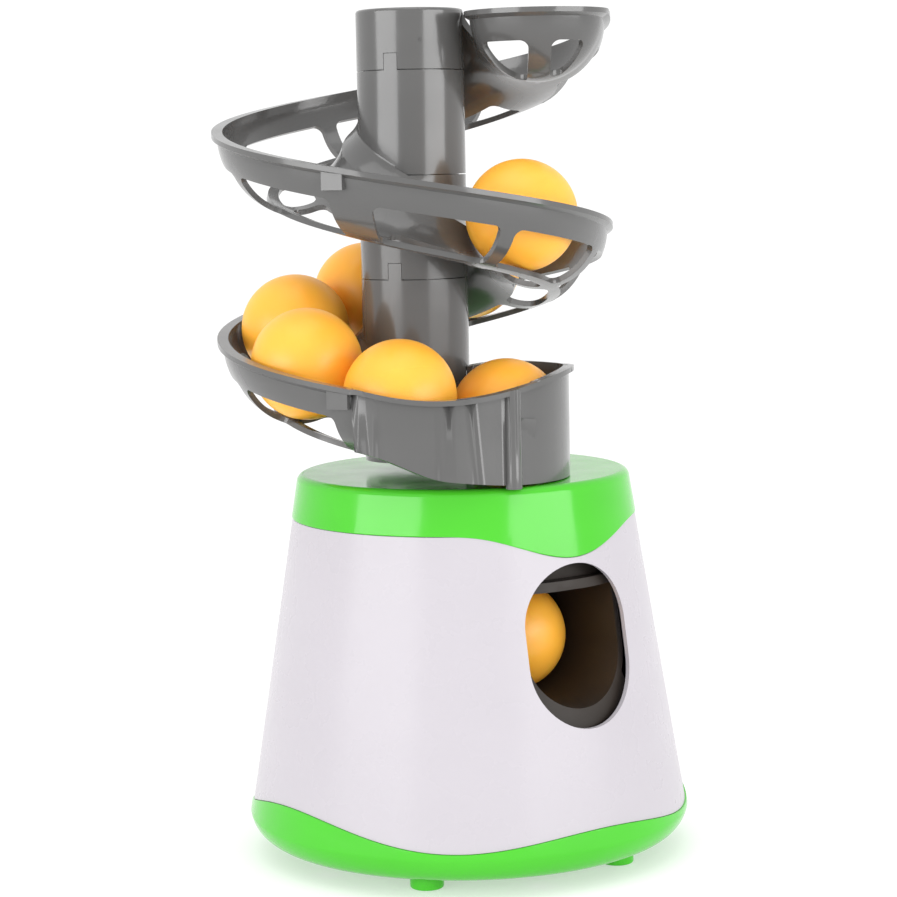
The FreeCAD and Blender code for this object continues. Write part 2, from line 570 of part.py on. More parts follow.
def door_screw():
    z = TRAY_FLOOR_Z
    head = cylinder(2.6, 0, DOOR_SCREW_Y, z - 0.9, z)
    head = head.cut(box(-2.0, 2.0, DOOR_SCREW_Y - 0.3, DOOR_SCREW_Y + 0.3, z - 1.5, z - 0.4))
    return head.fuse(cylinder(1.25, 0, DOOR_SCREW_Y, z - 0.2, z + 8.0)).removeSplitter()


def battery_holder():
    w, l, z0 = BAY_W / 2, BAY_L / 2, TRAY_FLOOR_Z + 2.2
    case = box(-w, w, BAY_Y - l, BAY_Y + l, z0, BAY_TOP_Z)
    boss = box(-4, 4, BAY_Y + l - 0.5, BAY_Y + l + 6.0, z0, z0 + 9.0)
    case = case.fuse(boss).cut(cylinder(1.3, 0, DOOR_SCREW_Y, z0 - 1, z0 + 8.0))
    return case.cut(bay_hole(z0 - 1, BAY_TOP_Z - 2.0)).removeSplitter()


def battery_cells():
    cells = []
    for i in range(CELL_COUNT):
        x = (i - (CELL_COUNT - 1) / 2) * CELL_PITCH
        way = 1 if i % 2 else -1
        z = TRAY_FLOOR_Z + 2.2 + CELL_R + 0.2
        can = Part.makeCylinder(CELL_R, CELL_L - 1.0, V(x, BAY_Y - way * (CELL_L - 1.0) / 2, z), V(0, way, 0))
        can = can.makeFillet(0.6, can.Edges[0:1] + can.Edges[2:3])
        nub = Part.makeCylinder(2.7, 1.2, V(x, BAY_Y + way * ((CELL_L - 1.0) / 2 - 0.2), z), V(0, way, 0))
        cells.append(can.fuse(nub).removeSplitter())
    return Part.makeCompound(cells)


def battery_contacts():
    """Sprung plate at one end of each cell and a flat plate at the other."""
    plates = []
    z = TRAY_FLOOR_Z + 2.2 + CELL_R + 0.2
    for i in range(CELL_COUNT):
        x = (i - (CELL_COUNT - 1) / 2) * CELL_PITCH
        for side in (-1, 1):
            wall = BAY_Y + side * (DOOR_L / 2 + 0.2)
            y0, y1 = sorted((wall, wall - side * 0.5))
            plates.append(box(x - 5, x + 5, y0, y1, z - 5, z + 5))
    return Part.makeCompound(plates)


# ---- launcher -----------------------------------------------------------------------------
def launch_guide():
    centre_z = SEAT_Z + GUIDE_RISE
    outer = stadium(GUIDE_R + GUIDE_WALL, centre_z - GUIDE_R - GUIDE_WALL, centre_z + 60, -85, GUIDE_BACK_Y)
    rim = GUIDE_R + GUIDE_FLANGE
    outer = outer.fuse(stadium(rim, centre_z - rim, centre_z + 60, -85, -64))
    outer = outer.common(box(-30, 30, -90, 0, 0, GUIDE_TOP_Z))
    inner = stadium(GUIDE_R, centre_z - GUIDE_R, centre_z + 60, -90, 5)
    inner = inner.common(box(-30, 30, -95, 10, 0, GUIDE_TOP_Z - 2.2))
    duct = outer.cut(inner)
    side = GUIDE_R + GUIDE_WALL
    duct = duct.fuse(box(-side, side, -56.0, -54.0, GUIDE_TOP_Z - 1, 119.0))
    duct = duct.fuse(box(-GUIDE_R - 2, GUIDE_R + 2, -62.0, -55.0, GUIDE_TOP_Z - 3.4, GUIDE_TOP_Z - 0.5))
    space = Part.makeCone(cone_r(40) - LAP - WALL - GAP, cone_r(134) - LAP - WALL - GAP, 94, V(0, 0, 40))
    duct = duct.common(space)
    duct = duct.fuse(cylinder(FEED_R + FEED_WALL, 0, SEAT_Y, GUIDE_TOP_Z - 2.2, HOUSING_TOP_Z - 2.7))
    return duct.cut(cylinder(FEED_R, 0, SEAT_Y, SEAT_Z + 5, 150)).removeSplitter()


def shaft_places():
    cam = (CAM_Y, CAM_Z)
    a, b = math.radians(COMPOUND_LIFT), math.radians(MOTOR_LIFT)
    compound = (CAM_Y + CENTRES * math.cos(a), CAM_Z + CENTRES * math.sin(a))
    motor = (compound[0] + CENTRES * math.cos(b), compound[1] + CENTRES * math.sin(b))
    return cam, compound, motor


def gear(teeth, x0, x1, y, z, turn, bore):
    """Involute spur gear on an X axis, with one tooth centred on the given direction from +Y."""
    pitch_r = MODULE * teeth / 2
    base_r = pitch_r * math.cos(math.radians(20))
    tip_r, root_r = pitch_r + ADDENDUM * MODULE, pitch_r - DEDENDUM * MODULE
    involute = lambda r: math.sqrt(max((r / base_r) ** 2 - 1, 0)) - math.acos(min(base_r / r, 1))
    half = math.pi / (2 * teeth) - BACKLASH / (2 * pitch_r) + involute(pitch_r)
    start = max(base_r, root_r + 0.02)
    radii = [start + (tip_r - start) * i / 4 for i in range(5)]
    flank = [(root_r, half)] + [(r, half - involute(r)) for r in radii]
    profile = [(r, -a) for r, a in flank] + [(r, a) for r, a in reversed(flank)]
    points = []
    for i in range(teeth):
        centre = math.radians(turn) + 2 * math.pi * i / teeth
        points += [V(x0, y + r * math.cos(centre + a), z + r * math.sin(centre + a)) for r, a in profile]
    wheel = face_of(points).extrude(V(x1 - x0, 0, 0))
    return wheel.cut(rod_x(bore, x0 - 1, x1 + 1, y, z)) if bore else wheel


def cam_gear():
    cam = shaft_places()[0]
    wheel = gear(WHEEL_TEETH, 4.0, 8.0, cam[0], cam[1], COMPOUND_LIFT, 0)
    points = []
    for i in range(120):
        a = 3.0 * i
        local = (a - CAM_DWELL_CENTRE) % 180.0
        if local < 40 or local > 140:
            r = CAM_LOW
        elif local < 100:
            r = CAM_LOW + (CAM_HIGH - CAM_LOW) * 0.5 * (1 - math.cos(math.pi * (local - 40) / 60))
        elif local < 126:
            r = CAM_HIGH
        else:
            r = CAM_HIGH - (CAM_HIGH - CAM_LOW) * (local - 126) / 14
        points.append(V(-2.5, cam[0] + r * math.cos(math.radians(a)), cam[1] + r * math.sin(math.radians(a))))
    disc = face_of(points).extrude(V(5.0, 0, 0))
    hub = rod_x(5.0, 2.0, 5.0, cam[0], cam[1])
    return union(wheel, hub, disc).cut(rod_x(1.5, -20, 20, cam[0], cam[1]))


def compound_gear():
    cam, mid, motor = shaft_places()
    facing = COMPOUND_LIFT + 180.0 + 180.0 / PINION_TEETH
    pinion = gear(PINION_TEETH, 3.6, 9.5, mid[0], mid[1], facing, 0)
    wheel = gear(WHEEL_TEETH, 9.0, 12.0, mid[0], mid[1], MOTOR_LIFT, 0)
    return union(pinion, wheel).cut(rod_x(1.5, -20, 20, mid[0], mid[1]))


def motor_body(grow, x0, x1):
    y, z = shaft_places()[2]
    flats = box(x0 - 1, x1 + 1, y - 20, y + 20, z - 7.5 - grow, z + 7.5 + grow)
    return rod_x(10.0 + grow, x0, x1, y, z).common(flats)


def motor_parts():
    y, z = shaft_places()[2]
    can = motor_body(0, -12.5, 7.5).cut(motor_body(-0.9, -13.5, 6.6)).fuse(rod_x(3.0, 7.0, 8.4, y, z))
    cap = motor_body(0, -17.5, -12.5).cut(motor_body(-1.6, -16.0, -11.5)).fuse(rod_x(2.6, -18.3, -15.0, y, z))
    ring = rod_x(9.0, -11.0, 5.5, y, z).cut(rod_x(7.2, -12, 7, y, z))
    ring = ring.common(box(-12, 7, y - 12, y + 12, z - 4.6, z + 4.6))
    core = rod_x(6.6, -9.5, 4.0, y, z)
    for i in range(3):
        slot = box(-10, 5, 2.6, 8, -0.8, 0.8)
        slot.rotate(V(0, 0, 0), V(1, 0, 0), 120.0 * i)
        slot.translate(V(0, y, z))
        core = core.cut(slot)
    core = core.fuse(rod_x(2.2, -11.5, -9.0, y, z)).removeSplitter().cut(rod_x(1.0, -20, 20, y, z))
    bore = rod_x(1.05, -30, 30, y, z)
    pinion = gear(PINION_TEETH, 8.8, 12.4, y, z, MOTOR_LIFT + 180.0 + 180.0 / PINION_TEETH, 1.0)
    return {"motor_can": can.cut(bore).removeSplitter(), "motor_end_cap": cap.cut(bore).removeSplitter(),
            "motor_magnets": ring, "motor_armature": core, "motor_shaft": rod_x(1.0, -18.8, 12.4, y, z),
            "motor_pinion": pinion}


def gearbox_plate(side):
    x0 = PLATE_X if side > 0 else -PLATE_X - PLATE_T
    cam, mid, motor = shaft_places()
    outline = [(-9, 24), (54, 24), (58, 44), (58, 62), (44, 71), (18, 71), (4, 67), (-7, 67), (-9, 60)]
    plate = face_of([V(x0, y, z) for y, z in outline]).extrude(V(PLATE_T, 0, 0))
    for (y, z), r in ((cam, 1.56), ((STRIKER_Y, STRIKER_Z), 2.0)):
        plate = plate.cut(rod_x(r, x0 - 1, x0 + PLATE_T + 1, y, z))
    if side > 0:
        plate = plate.cut(rod_x(1.56, x0 - 1, x0 + PLATE_T + 1, mid[0], mid[1]))
    else:
        plate = plate.cut(motor_body(0.15, x0 - 2, x0 + PLATE_T + 2))
    for y, z in SPACERS:
        plate = plate.cut(rod_x(1.2, x0 - 1, x0 + PLATE_T + 1, y, z))
    foot_x = x0 if side > 0 else x0 - 5
    foot = box(foot_x, foot_x + PLATE_T + 5, 0, 30, BAY_TOP_Z, BAY_TOP_Z + 2)
    return plate.fuse(foot).removeSplitter()


def gearbox_spacers():
    pillars = []
    for y, z in SPACERS:
        pillars.append(union(rod_x(2.2, -PLATE_X, PLATE_X, y, z), rod_x(1.2, -17, 17, y, z)))
    return Part.makeCompound(pillars)


def lever_point(length, lean):
    a = math.radians(lean)
    return STRIKER_Y + length * math.sin(a), STRIKER_Z + length * math.cos(a)


def striker_arm():
    """Bell-crank beside the cam: hub, stem with a broad head, and a tail with its follower pin."""
    hy, hz = lever_point(STRIKER_HEAD, STRIKER_LEAN)
    ty, tz = lever_point(-STRIKER_TAIL, STRIKER_LEAN)
    hub = rod_x(4.5, -8.0, -4.0, STRIKER_Y, STRIKER_Z)
    stem = box(-8.0, -4.0, -2.4, 2.4, -STRIKER_TAIL, STRIKER_HEAD - 4.8)
    head = box(-8.0, 8.0, -1.6, 2.4, STRIKER_HEAD - 5.0, STRIKER_HEAD + 6.0)
    bar = stem.fuse(head)
    bar.rotate(V(0, 0, 0), V(1, 0, 0), -STRIKER_LEAN)
    bar.translate(V(0, STRIKER_Y, STRIKER_Z))
    follower = rod_x(FOLLOWER_R, -8.0, 2.8, ty, tz)
    peg = rod_x(1.0, -12.5, -7.5, ty, tz)
    return union(bar, hub, follower, peg).cut(rod_x(2.05, -20, 20, STRIKER_Y, STRIKER_Z))


def striker_pad():
    pad = box(-7.5, 7.5, -2.8, -1.6, STRIKER_HEAD - 4.5, STRIKER_HEAD + 5.5)
    front = [e for e in pad.Edges if abs(e.BoundBox.YMin + 2.8) < 1e-6 and abs(e.BoundBox.YMax + 2.8) < 1e-6]
    pad = pad.makeFillet(0.5, front)
    pad.rotate(V(0, 0, 0), V(1, 0, 0), -STRIKER_LEAN)
    pad.translate(V(0, STRIKER_Y, STRIKER_Z))
    return pad


def striker_spring():
    """Close-wound tension spring from the striker's tail peg to an anchor peg on the left plate."""
    ty, tz = lever_point(-STRIKER_TAIL, STRIKER_LEAN)
    start, end = V(SPRING_X, ty + 1.6, tz), V(SPRING_X, SPRING_ANCHOR[0] - 1.6, SPRING_ANCHOR[1])
    length = (end - start).Length
    helix = Part.makeHelix(length / 14.0, length, 1.9)
    profile = Part.Wire([Part.makeCircle(0.35, V(1.9, 0, 0), V(0, 1, 0))])
    coil = Part.Wire(helix.Edges).makePipeShell([profile], True, True)
    coil.Placement = FreeCAD.Placement(start, FreeCAD.Rotation(V(0, 0, 1), end - start))
    return coil


def spring_anchor():
    y, z = SPRING_ANCHOR
    return union(rod_x(1.0, -PLATE_X, SPRING_X + 2.5, y, z), rod_x(2.0, -PLATE_X, -PLATE_X + 1.0, y, z))


# ---- switch -------------------------------------------------------------------------------
def switch_bezel():
    front = SWITCH_Y + 7.2
    bezel = box(-SWITCH_W, SWITCH_W, SWITCH_Y, front, SWITCH_Z - SWITCH_H, SWITCH_Z + SWITCH_H)
    bezel = bezel.makeFillet(1.2, [e for e in bezel.Edges if abs(e.BoundBox.YMin - front) < 1e-6])
    return bezel.cut(box(-7.0, 7.0, 60, 90, SWITCH_Z - 3.0, SWITCH_Z + 3.0))


def switch_slider():
    top = SWITCH_Y + 9.4
    knob = box(-6.7, -0.7, SWITCH_Y + 0.4, top, SWITCH_Z - 2.7, SWITCH_Z + 2.7)
    for i in range(3):
        x = -5.6 + 1.6 * i
        knob = knob.cut(box(x, x + 0.7, top - 0.7, top + 1, SWITCH_Z - 3, SWITCH_Z + 3))
    return knob


def switch_body():
    case = box(-10, 10, SWITCH_Y - 9.0, SWITCH_Y, SWITCH_Z - 5, SWITCH_Z + 5)
    return case.cut(box(-6.8, 6.9, SWITCH_Y - 1.0, SWITCH_Y + 1.0, SWITCH_Z - 2.8, SWITCH_Z + 2.8))


# ---- balls --------------------------------------------------------------------------------
def ball(centre):
    return Part.makeSphere(BALL_R, centre).cut(Part.makeSphere(BALL_R - 0.4, centre))


def ball_places():
    shaft = [("ball_seat", 0), ("ball_stacked", 1), ("ball_chute", 2)]
    places = {name: V(0, SEAT_Y, SEAT_Z + i * (2 * BALL_R + 0.02)) for name, i in shaft}
    for i, name in enumerate(QUEUE):
        angle = QUEUE_START - i * QUEUE_STEP
        places[name] = tower(ORBIT_R, angle, path_z(angle))
    places["ball_rolling"] = tower(ORBIT_R, ROLLING_ANGLE, path_z(ROLLING_ANGLE))
    return places


# ---- assembly -----------------------------------------------------------------------------
def main():
    half = 180.0
    save("ramp_lower", segment(0, SEAM_ANGLE, half))
    save("ramp_middle", segment(1, SEAM_ANGLE - half, half))
    save("ramp_upper", segment(2, SEAM_ANGLE - 2 * half, half))
    save("ramp_top", segment(3, SEAM_ANGLE - 3 * half, TOP_SPAN, True))
    save("drop_chute", drop_chute())
    save("lid", lid())
    save("body_shell", body_shell())
    save("base_tray", base_tray())
    save("base_screws", base_screws())
    save("battery_door", battery_door())
    save("door_screw", door_screw())
    save("battery_holder", battery_holder())
    save("battery_cells", battery_cells())
    save("battery_contacts", battery_contacts())
    save("launch_guide", launch_guide())
    save("gearbox_plate_left", gearbox_plate(-1))
    save("gearbox_plate_right", gearbox_plate(1))
    save("gearbox_spacers", gearbox_spacers())
    save("cam_gear", cam_gear())
    save("compound_gear", compound_gear())
    cam, mid, motor = shaft_places()
    save("cam_shaft", rod_x(1.5, -17.5, 17.5, cam[0], cam[1]))
    save("compound_shaft", rod_x(1.5, 3.2, 17.5, mid[0], mid[1]))
    for name, shape in motor_parts().items():
        save(name, shape)
    save("striker_arm", striker_arm())
    save("striker_pad", striker_pad())
    save("striker_pin", rod_x(2.0, -16.5, 16.5, STRIKER_Y, STRIKER_Z))
    save("striker_spring", striker_spring())
    save("spring_anchor", spring_anchor())
    save("switch_bezel", switch_bezel())
    save("switch_slider", switch_slider())
    save("switch_body", switch_body())
    for name, centre in ball_places().items():
        save(name, ball(centre))


main()
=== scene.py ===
"""Looks of a table-tennis ball launcher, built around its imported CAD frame.

Metres, +Z up, -Y is the launch direction.  Sizes and places come from the frame, and colours are linear.
"""

import json
import math
import random

import bmesh
import bpy
from mathutils import Euler, Matrix, Vector


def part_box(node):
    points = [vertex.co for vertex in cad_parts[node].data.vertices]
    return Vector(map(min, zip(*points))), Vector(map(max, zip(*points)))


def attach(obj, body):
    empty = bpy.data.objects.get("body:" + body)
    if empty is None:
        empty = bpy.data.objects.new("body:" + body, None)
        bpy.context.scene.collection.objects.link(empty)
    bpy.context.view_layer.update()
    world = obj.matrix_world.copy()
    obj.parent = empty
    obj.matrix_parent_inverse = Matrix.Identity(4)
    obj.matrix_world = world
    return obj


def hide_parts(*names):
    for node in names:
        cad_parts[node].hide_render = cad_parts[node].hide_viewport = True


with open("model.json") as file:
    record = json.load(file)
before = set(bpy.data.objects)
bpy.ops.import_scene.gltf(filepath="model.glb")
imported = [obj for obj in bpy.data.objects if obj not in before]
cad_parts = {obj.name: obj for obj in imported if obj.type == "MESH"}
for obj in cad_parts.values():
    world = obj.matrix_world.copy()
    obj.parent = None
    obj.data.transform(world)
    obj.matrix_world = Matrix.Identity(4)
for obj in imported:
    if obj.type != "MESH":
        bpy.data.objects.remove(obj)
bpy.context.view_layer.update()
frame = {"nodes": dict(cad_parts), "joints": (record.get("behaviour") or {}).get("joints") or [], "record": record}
MM = 0.001

BALLS = [name for name in sorted(frame["nodes"]) if name.startswith("ball_")]
BALL_RADIUS = 20 * MM


# ---- camera -------------------------------------------------------------------------------
CAMERA_PLACE = Vector((-0.55657, -0.75354, 0.25472))
CAMERA_AZIMUTH, CAMERA_PITCH, CAMERA_ROLL = 36.14, 6.53, -1.15    # degrees
CAMERA_LENS, SENSOR = 103.0, 36.0                                # millimetres
CAMERA_NEAR, CAMERA_FAR = 0.02, 20.0


def add_camera():
    """Camera fitted to the photograph; the Standard transform keeps the saturated colours."""
    data = bpy.data.cameras.new("camera")
    data.lens = CAMERA_LENS
    data.sensor_width = SENSOR
    data.clip_start = CAMERA_NEAR
    data.clip_end = CAMERA_FAR
    camera = bpy.data.objects.new("camera", data)
    azimuth, pitch = math.radians(CAMERA_AZIMUTH), math.radians(CAMERA_PITCH)
    turn = Matrix.Rotation(-azimuth, 4, "Z") @ Matrix.Rotation(math.pi / 2 - pitch, 4, "X")
    turn = turn @ Matrix.Rotation(math.radians(CAMERA_ROLL), 4, "Z")
    camera.matrix_world = Matrix.Translation(CAMERA_PLACE) @ turn
    bpy.context.scene.collection.objects.link(camera)
    bpy.context.scene.camera = camera
    bpy.context.scene.view_settings.view_transform = "Standard"


# ---- materials ----------------------------------------------------------------------------
# Scales are in turns per metre, rough is the range that the roughness drifts over.
FLOW_SCALE = 18.0            # slow colour drift of moulded plastic
GLOSS_SCALE = 72.0           # uneven gloss of moulded plastic
FLOW_STRETCH = (1, 1, 2.5)
PLASTIC_BUMP = 0.35
COAT_ROUGHNESS = 0.05
STAIN_SCALE = 60.0           # colour drift of metal
METAL_SPREAD = 0.12
METAL_BUMP, METAL_GRAIN_DEPTH = 0.25, 0.01 * MM

BALL_TONES = (0.95, 0.425, 0.034), (0.98, 0.460, 0.048)
BALL_ROUGH = 0.36, 0.48
BALL_GLOW, BALL_GLOW_REACH = 0.35, (0.010, 0.005, 0.001)    # light that spreads in the shell, metres
BALL_SKIN_SCALE, BALL_SKIN_BUMP, BALL_SKIN_DEPTH = 2600.0, 0.3, 0.012 * MM

WIRE_SCALE, WIRE_WAVER = 900.0, 0.4
WIRE_TONES = (0.30, 0.09, 0.03), (0.72, 0.30, 0.12)
WIRE_METALLIC, WIRE_ROUGHNESS = 0.8, 0.35
WIRE_BUMP, WIRE_DEPTH = 0.6, 0.1 * MM

CELL_TONES = (0.02, 0.022, 0.026), (0.55, 0.36, 0.06)
CELL_BAND = 0.66, 0.67       # share of the length where the sleeve changes colour
CELL_METALLIC, CELL_ROUGH = 0.35, (0.25, 0.4)
CELL_BUMP, CELL_DEPTH = 0.2, 0.02 * MM


class Nodes:
    """Small helper that adds and links shader nodes in one material."""

    def __init__(self, name):
        self.material = bpy.data.materials.new(name)
        self.material.use_nodes = True
        self.tree = self.material.node_tree
        self.shader = self.tree.nodes["Principled BSDF"]

    def add(self, kind, **settings):
        node = self.tree.nodes.new(kind)
        for key, value in settings.items():
            setattr(node, key, value)
        return node

    def link(self, source, target):
        self.tree.links.new(source, target)

    def value(self, socket, value):
        self.shader.inputs[socket].default_value = value

    def noise(self, scale, detail=3.0, stretch=(1, 1, 1)):
        """Noise in object space, in turns per metre."""
        place = self.add("ShaderNodeTexCoord")
        mapping = self.add("ShaderNodeMapping")
        mapping.inputs["Scale"].default_value = stretch
        noise = self.add("ShaderNodeTexNoise")
        noise.inputs["Scale"].default_value = scale
        noise.inputs["Detail"].default_value = detail
        noise.inputs["Roughness"].default_value = 0.5
        self.link(place.outputs["Object"], mapping.inputs["Vector"])
        self.link(mapping.outputs["Vector"], noise.inputs["Vector"])
        return noise.outputs["Fac"]

    def spread(self, source, low, high, start=0.3, end=0.7):
        """Map the source's start..end to low..high."""
        node = self.add("ShaderNodeMapRange")
        node.inputs["From Min"].default_value = start
        node.inputs["From Max"].default_value = end
        node.inputs["To Min"].default_value = low
        node.inputs["To Max"].default_value = high
        self.link(source, node.inputs["Value"])
        return node.outputs["Result"]

    def rough(self, source, low, high):
        """Roughness that drifts with the source."""
        self.link(self.spread(source, low, high), self.shader.inputs["Roughness"])

    def shade(self, source, dark, light, start=0.3, end=0.7):
        """Base colour that drifts between two tones."""
        ramp = self.add("ShaderNodeValToRGB")
        ramp.color_ramp.elements[0].position = start
        ramp.color_ramp.elements[0].color = (*dark, 1)
        ramp.color_ramp.elements[1].position = end
        ramp.color_ramp.elements[1].color = (*light, 1)
        self.link(source, ramp.inputs["Fac"])
        self.link(ramp.outputs["Color"], self.shader.inputs["Base Color"])
        return ramp

    def bump(self, source, strength, distance):
        node = self.add("ShaderNodeBump")
        node.inputs["Strength"].default_value = strength
        node.inputs["Distance"].default_value = distance
        self.link(source, node.inputs["Height"])
        self.link(node.outputs["Normal"], self.shader.inputs["Normal"])


def tones(colour, spread):
    """A darker and a lighter tone of one colour."""
    return [c * (1 - spread) for c in colour], [min(c * (1 + spread), 1.0) for c in colour]


def plastic(name, colour, spread, rough, gloss=0.5, coat=0.0, grain=1400.0, grain_depth=0.012):
    """Moulded plastic: slow flow tones, uneven gloss and a fine moulded grain."""
    made = Nodes(name)
    made.shade(made.noise(FLOW_SCALE, 2.0, stretch=FLOW_STRETCH), *tones(colour, spread))
    made.rough(made.noise(GLOSS_SCALE, 4.0), *rough)
    made.bump(made.noise(grain, 2.0), PLASTIC_BUMP, grain_depth * MM)
    made.value("Specular IOR Level", gloss)
    made.value("Coat Weight", coat)
    made.value("Coat Roughness", COAT_ROUGHNESS)
    return made


def metal(name, colour, rough, grain=(1, 1, 1), scale=900.0):
    """Metal with fine working marks."""
    made = Nodes(name)
    made.value("Metallic", 1.0)
    made.shade(made.noise(STAIN_SCALE, 4.0), *tones(colour, METAL_SPREAD))
    made.rough(made.noise(scale, 3.0, stretch=grain), *rough)
    made.bump(made.noise(scale, 3.0, stretch=grain), METAL_BUMP, METAL_GRAIN_DEPTH)
    return made


def ball_material():
    """Celluloid-like ball: warm orange with a fine ground skin and light that spreads in the shell."""
    made = Nodes("ball_shell")
    made.shade(made.noise(30.0, 3.0), *BALL_TONES, 0.25, 0.75)
    made.rough(made.noise(90.0, 4.0), *BALL_ROUGH)
    made.value("Subsurface Weight", BALL_GLOW)
    made.value("Subsurface Radius", BALL_GLOW_REACH)
    made.value("Subsurface Scale", 1.0)
    made.bump(made.noise(BALL_SKIN_SCALE, 2.0), BALL_SKIN_BUMP, BALL_SKIN_DEPTH)
    return made


def winding_material():
    """Enamelled copper wire in rows across the armature."""
    made = Nodes("copper_winding")
    made.value("Metallic", WIRE_METALLIC)
    wave = made.add("ShaderNodeTexWave", wave_type="BANDS", bands_direction="Z")
    wave.inputs["Scale"].default_value = WIRE_SCALE
    wave.inputs["Distortion"].default_value = WIRE_WAVER
    place = made.add("ShaderNodeTexCoord")
    made.link(place.outputs["Object"], wave.inputs["Vector"])
    made.shade(wave.outputs["Fac"], *WIRE_TONES, 0.1, 0.9)
    made.bump(wave.outputs["Fac"], WIRE_BUMP, WIRE_DEPTH)
    made.value("Roughness", WIRE_ROUGHNESS)
    return made


def cell_material():
    """Plain shrink sleeve in two colours that meet at one band."""
    made = Nodes("cell_sleeve")
    place = made.add("ShaderNodeTexCoord")
    axis = made.add("ShaderNodeSeparateXYZ")
    made.link(place.outputs["Object"], axis.inputs["Vector"])
    low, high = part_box("battery_cells")
    share = made.spread(axis.outputs["Y"], 0.0, 1.0, low.y, high.y)
    ramp = made.shade(share, *CELL_TONES, *CELL_BAND)
    ramp.color_ramp.interpolation = "CONSTANT"
    made.value("Metallic", CELL_METALLIC)
    made.rough(made.noise(200.0), *CELL_ROUGH)
    made.bump(made.noise(400.0), CELL_BUMP, CELL_DEPTH)
    return made


def make_materials():
    """One material for each material slot of the record."""
    return {
        "grey_plastic": plastic("grey_moulding", (0.087, 0.0862, 0.085), 0.05, (0.15, 0.24), coat=0.2),
        "green_plastic": plastic("green_moulding", (0.060, 0.465, 0.020), 0.04, (0.13, 0.20),
                                 gloss=0.3, coat=0.1),
        "door_plastic": plastic("door_moulding", (0.057, 0.440, 0.019), 0.05, (0.24, 0.34), gloss=0.3),
        "white_plastic": plastic("white_moulding", (0.455, 0.431, 0.463), 0.010, (0.25, 0.31),
                                 gloss=0.25, grain_depth=0.004),
        "inner_plastic": plastic("inner_moulding", (0.026, 0.020, 0.016), 0.15, (0.40, 0.52), gloss=0.25),
        "gear_plastic": plastic("acetal", (0.50, 0.48, 0.42), 0.04, (0.35, 0.48)),
        "steel": metal("plated_steel", (0.62, 0.62, 0.63), (0.18, 0.34)),
        "spring_steel": metal("spring_wire", (0.50, 0.50, 0.52), (0.25, 0.38)),
        "magnet": plastic("ferrite", (0.045, 0.045, 0.048), 0.2, (0.5, 0.7),
                          grain=800.0, grain_depth=0.03),
        "winding": winding_material(),
        "brass": metal("turned_brass", (0.75, 0.52, 0.18), (0.2, 0.34), grain=(6, 1, 1)),
        "pad_rubber": plastic("black_rubber", (0.018, 0.018, 0.018), 0.2, (0.65, 0.8),
                              gloss=0.4, grain=900.0, grain_depth=0.05),
        "switch_plastic": plastic("switch_moulding", (0.020, 0.020, 0.021), 0.15, (0.35, 0.5),
                                  gloss=0.4, grain=1800.0, grain_depth=0.03),
        "cell_jacket": cell_material(),
        "ball_plastic": ball_material(),
    }


def assign(piece, made):
    piece.data.materials.clear()
    piece.data.materials.append(made.material)


# ---- CAD nodes ----------------------------------------------------------------------------
# Edge radii in millimetres; nodes that aren't listed keep their sharp edges.
BEVELS = {
    "body_shell": 0.8,
    "lid": 0.35,
    "base_tray": 0.35,
    "launch_guide": 0.5,
    "drop_chute": 0.45,
    "ramp_lower": 0.4,
    "ramp_middle": 0.4,
    "ramp_upper": 0.4,
    "ramp_top": 0.4,
    "battery_door": 0.3,
    "switch_bezel": 0.3,
    "switch_slider": 0.25,
    "striker_arm": 0.3,
}
BEVEL_SEGMENTS = 3
SMOOTH_ANGLE = 32.0    # degrees, faces that meet at more than this keep an edge
WELD_DISTANCE = 0.002 * MM


def finish_edges(piece, width):
    """Smooth shading with rounded edges, as a mould leaves them."""
    for face in piece.data.polygons:
        face.use_smooth = True
    weld = piece.modifiers.new("weld", "WELD")
    weld.merge_threshold = WELD_DISTANCE
    if width:
        bevel = piece.modifiers.new("soft_edges", "BEVEL")
        bevel.width = width * MM
        bevel.segments = BEVEL_SEGMENTS
        bevel.limit_method = "ANGLE"
        bevel.angle_limit = math.radians(SMOOTH_ANGLE)
    else:
        piece.data.set_sharp_from_angle(angle=math.radians(SMOOTH_ANGLE))
    normals = piece.modifiers.new("flat_faces", "WEIGHTED_NORMAL")
    normals.keep_sharp = True


def dress_cad(materials):
    """Give each CAD node the material of its record slot and finished edges."""
    slots = {row["node"]: row["material_slot"] for row in frame["record"]["subparts"]}
    for name, piece in frame["nodes"].items():
        assign(piece, materials[slots[name]])
        finish_edges(piece, BEVELS.get(name, 0))


# ---- balls --------------------------------------------------------------------------------
SEAM_HALF, SEAM_DEPTH = 0.28 * MM, 0.05 * MM
SEAM_SHOULDER = 2.2    # an extra row this many half widths out keeps the shading of the seam narrow
BALL_RINGS = 72
BALL_SIDES = 144
TILT_SEED = 7


